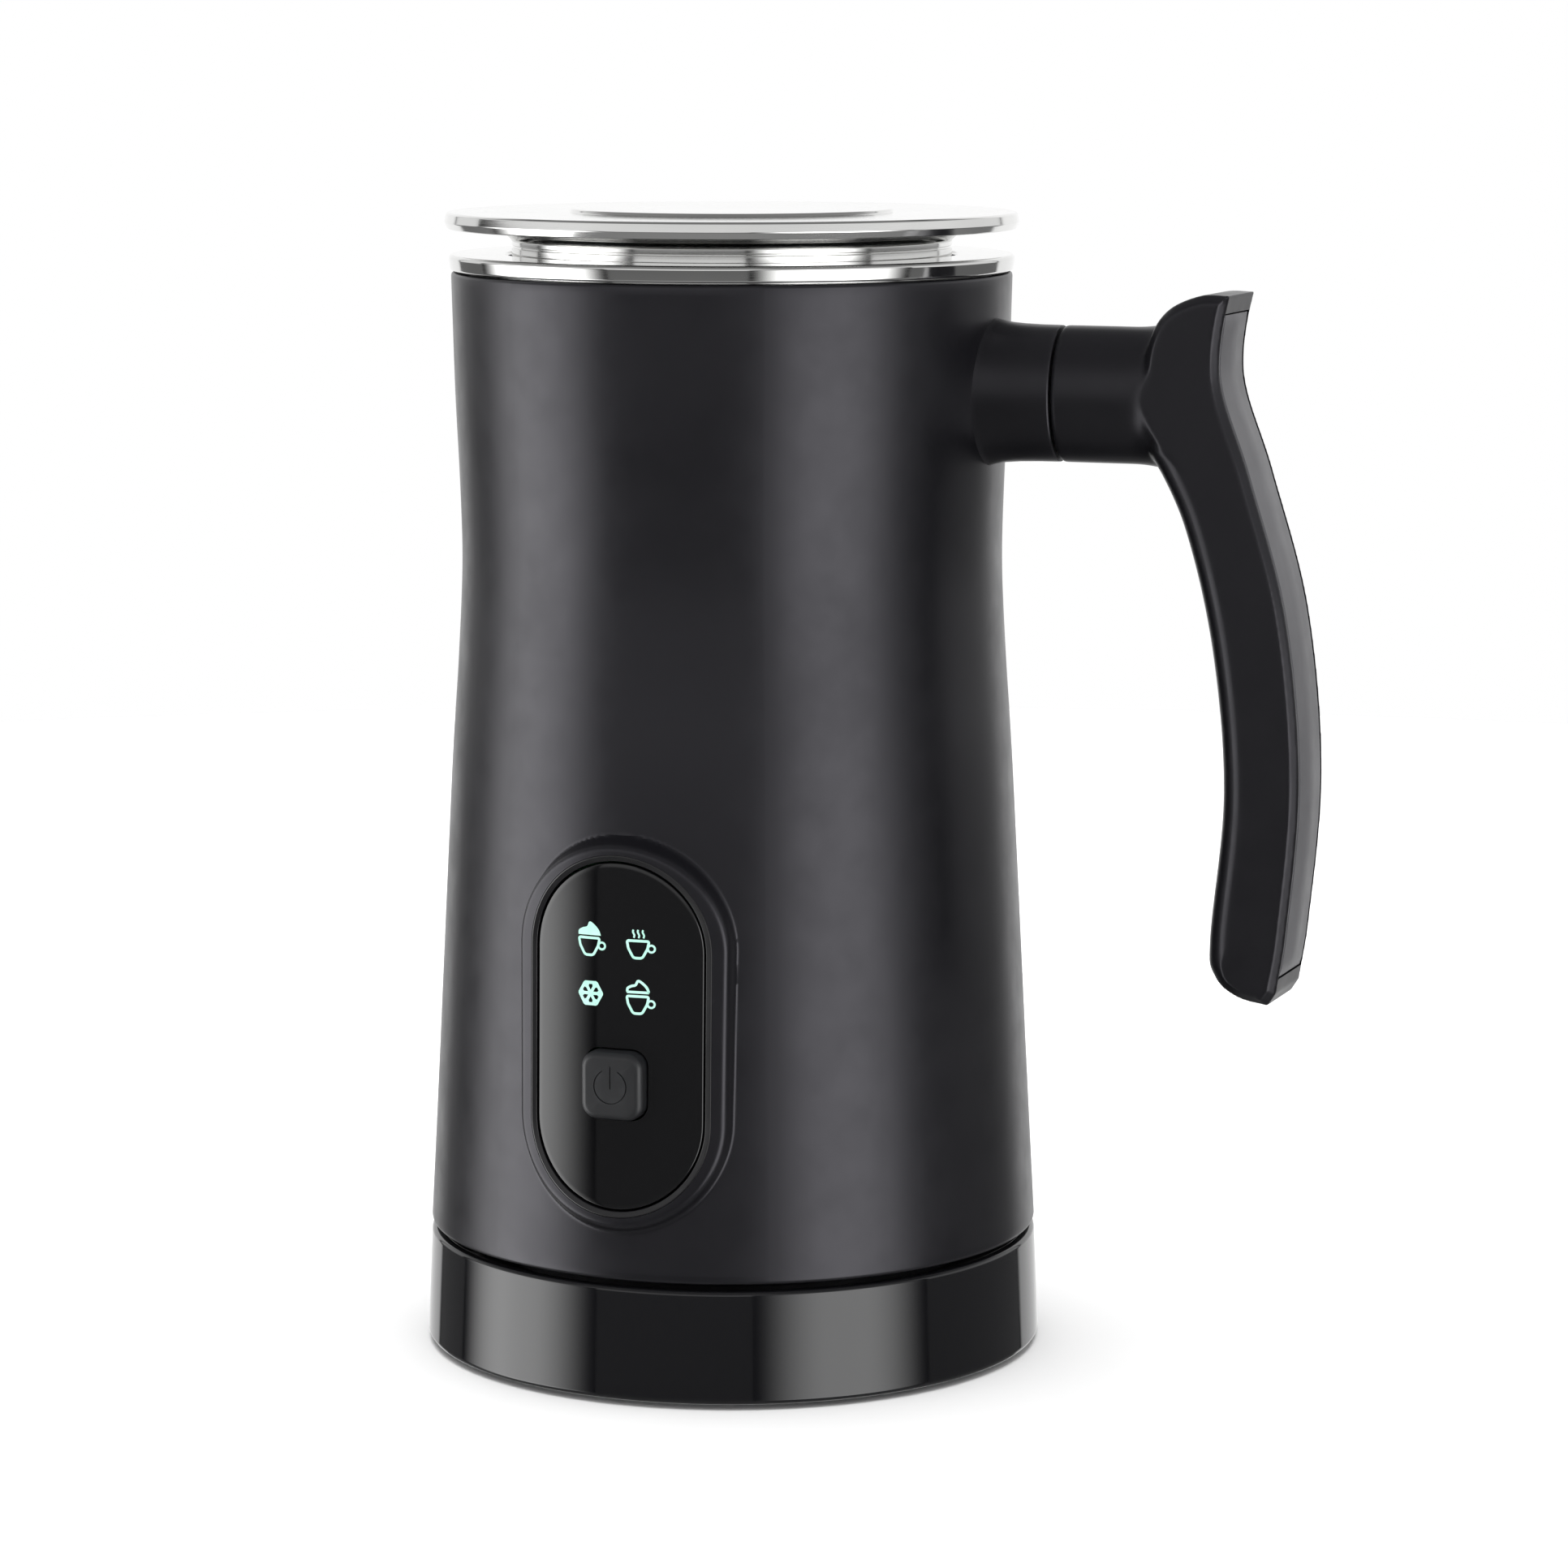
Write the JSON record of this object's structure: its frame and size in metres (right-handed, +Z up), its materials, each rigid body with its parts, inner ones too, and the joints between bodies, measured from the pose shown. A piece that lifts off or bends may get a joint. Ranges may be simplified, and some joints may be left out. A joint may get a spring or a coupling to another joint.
{
  "type": "milk frother",
  "caption": "Electric milk frother jug with side handle, lit panel and push button, steel cup, magnetic whisk and lift-off lid, standing on a round power base.",
  "frame": {"origin": "on the jug's axis in the plane that the rubber feet stand on, 0.8 mm below the base's flat underside", "axes": "+Z up along the jug's axis, +X towards the handle, -Y towards the control panel"},
  "size_m": [0.1539, 0.1066, 0.1925],
  "materials": {
    "matte_black": "soft matte black moulding with fine texture",
    "gloss_black": "high gloss black moulding",
    "dark_grey": "satin dark grey moulding",
    "polished_steel": "polished stainless steel",
    "zinc_steel": "zinc-plated steel",
    "brass": "bright brass contact",
    "aluminium": "turned aluminium",
    "rubber": "matte black rubber",
    "silicone": "translucent grey silicone",
    "inner_plastic": "dark grey heat-resistant moulding",
    "white_plastic": "off-white moulding",
    "board_green": "green circuit board",
    "magnet_grey": "nickel-plated magnet"
  },
  "bodies": {
    "power_base": {"base_shell": "gloss_black", "base_plate": "inner_plastic", "base_foot_1": "rubber", "base_foot_2": "rubber", "base_foot_3": "rubber", "base_foot_4": "rubber", "base_screw_1": "zinc_steel", "base_screw_2": "zinc_steel", "base_screw_3": "zinc_steel", "connector_socket": "inner_plastic", "socket_ring_contact": "brass", "socket_centre_contact": "brass", "cord_inlet": "rubber"},
    "jug_connector": {"connector_plug": "inner_plastic", "plug_centre_pin": "brass", "plug_ring_contact": "brass"},
    "jug": {"outer_shell": "matte_black", "bottom_cover": "inner_plastic", "cover_screw_1": "zinc_steel", "cover_screw_2": "zinc_steel", "cover_screw_3": "zinc_steel", "rim_ring": "polished_steel", "inner_cup": "polished_steel", "whisk_pivot_pin": "zinc_steel", "heater_plate": "aluminium", "heating_element": "zinc_steel", "thermostat": "inner_plastic", "thermal_fuse": "white_plastic", "temperature_sensor": "zinc_steel", "motor_bracket": "zinc_steel", "motor_can": "zinc_steel", "motor_end_cap": "inner_plastic", "motor_screw_1": "zinc_steel", "motor_screw_2": "zinc_steel", "power_board": "board_green", "relay": "gloss_black", "capacitor": "inner_plastic", "control_board": "board_green", "tact_switch": "inner_plastic", "light_guide": "white_plastic", "panel_bezel": "matte_black", "panel_lens": "gloss_black", "handle_collar": "matte_black", "handle_body": "matte_black", "handle_strip": "dark_grey", "handle_screw_1": "zinc_steel", "handle_screw_2": "zinc_steel"},
    "lid": {"lid_cap": "polished_steel", "lid_seal": "silicone"},
    "power_button": {"power_button": "dark_grey"},
    "motor_rotor": {"motor_shaft": "zinc_steel", "magnet_carrier": "inner_plastic", "drive_magnet": "magnet_grey"},
    "whisk_carrier": {"whisk_bush": "white_plastic"},
    "whisk": {"whisk_hub": "matte_black", "whisk_magnet": "magnet_grey", "whisk_cap": "matte_black", "whisk_coil": "polished_steel"}
  },
  "joints": [
    {"name": "jug_lift", "type": "slide", "parent": "power_base", "child": "jug_connector", "axis": [0, 0, 1], "range_m": [0, 0.12]},
    {"name": "jug_swivel", "type": "hinge", "parent": "jug_connector", "child": "jug", "pos_m": [0, 0, 0.02], "axis": [0, 0, 1], "continuous": true},
    {"name": "lid_lift", "type": "slide", "parent": "jug", "child": "lid", "axis": [0, 0, 1], "range_m": [0, 0.05]},
    {"name": "power_press", "type": "slide", "parent": "jug", "child": "power_button", "axis": [0, 1, 0], "range_m": [0, 0.0008], "stiffness_N_per_m": 1000, "springref_m": -0.0004},
    {"name": "motor_spin", "type": "hinge", "parent": "jug", "child": "motor_rotor", "pos_m": [0, 0, 0.058], "axis": [0, 0, 1], "continuous": true},
    {"name": "whisk_lift", "type": "slide", "parent": "jug", "child": "whisk_carrier", "axis": [0, 0, 1], "range_m": [0, 0.07]},
    {"name": "whisk_spin", "type": "hinge", "parent": "whisk_carrier", "child": "whisk", "pos_m": [0, 0, 0.081], "axis": [0, 0, 1], "continuous": true}
  ],
  "couplings": [
    {"joint": "whisk_spin", "follows": "motor_spin", "ratio": 1}
  ]
}
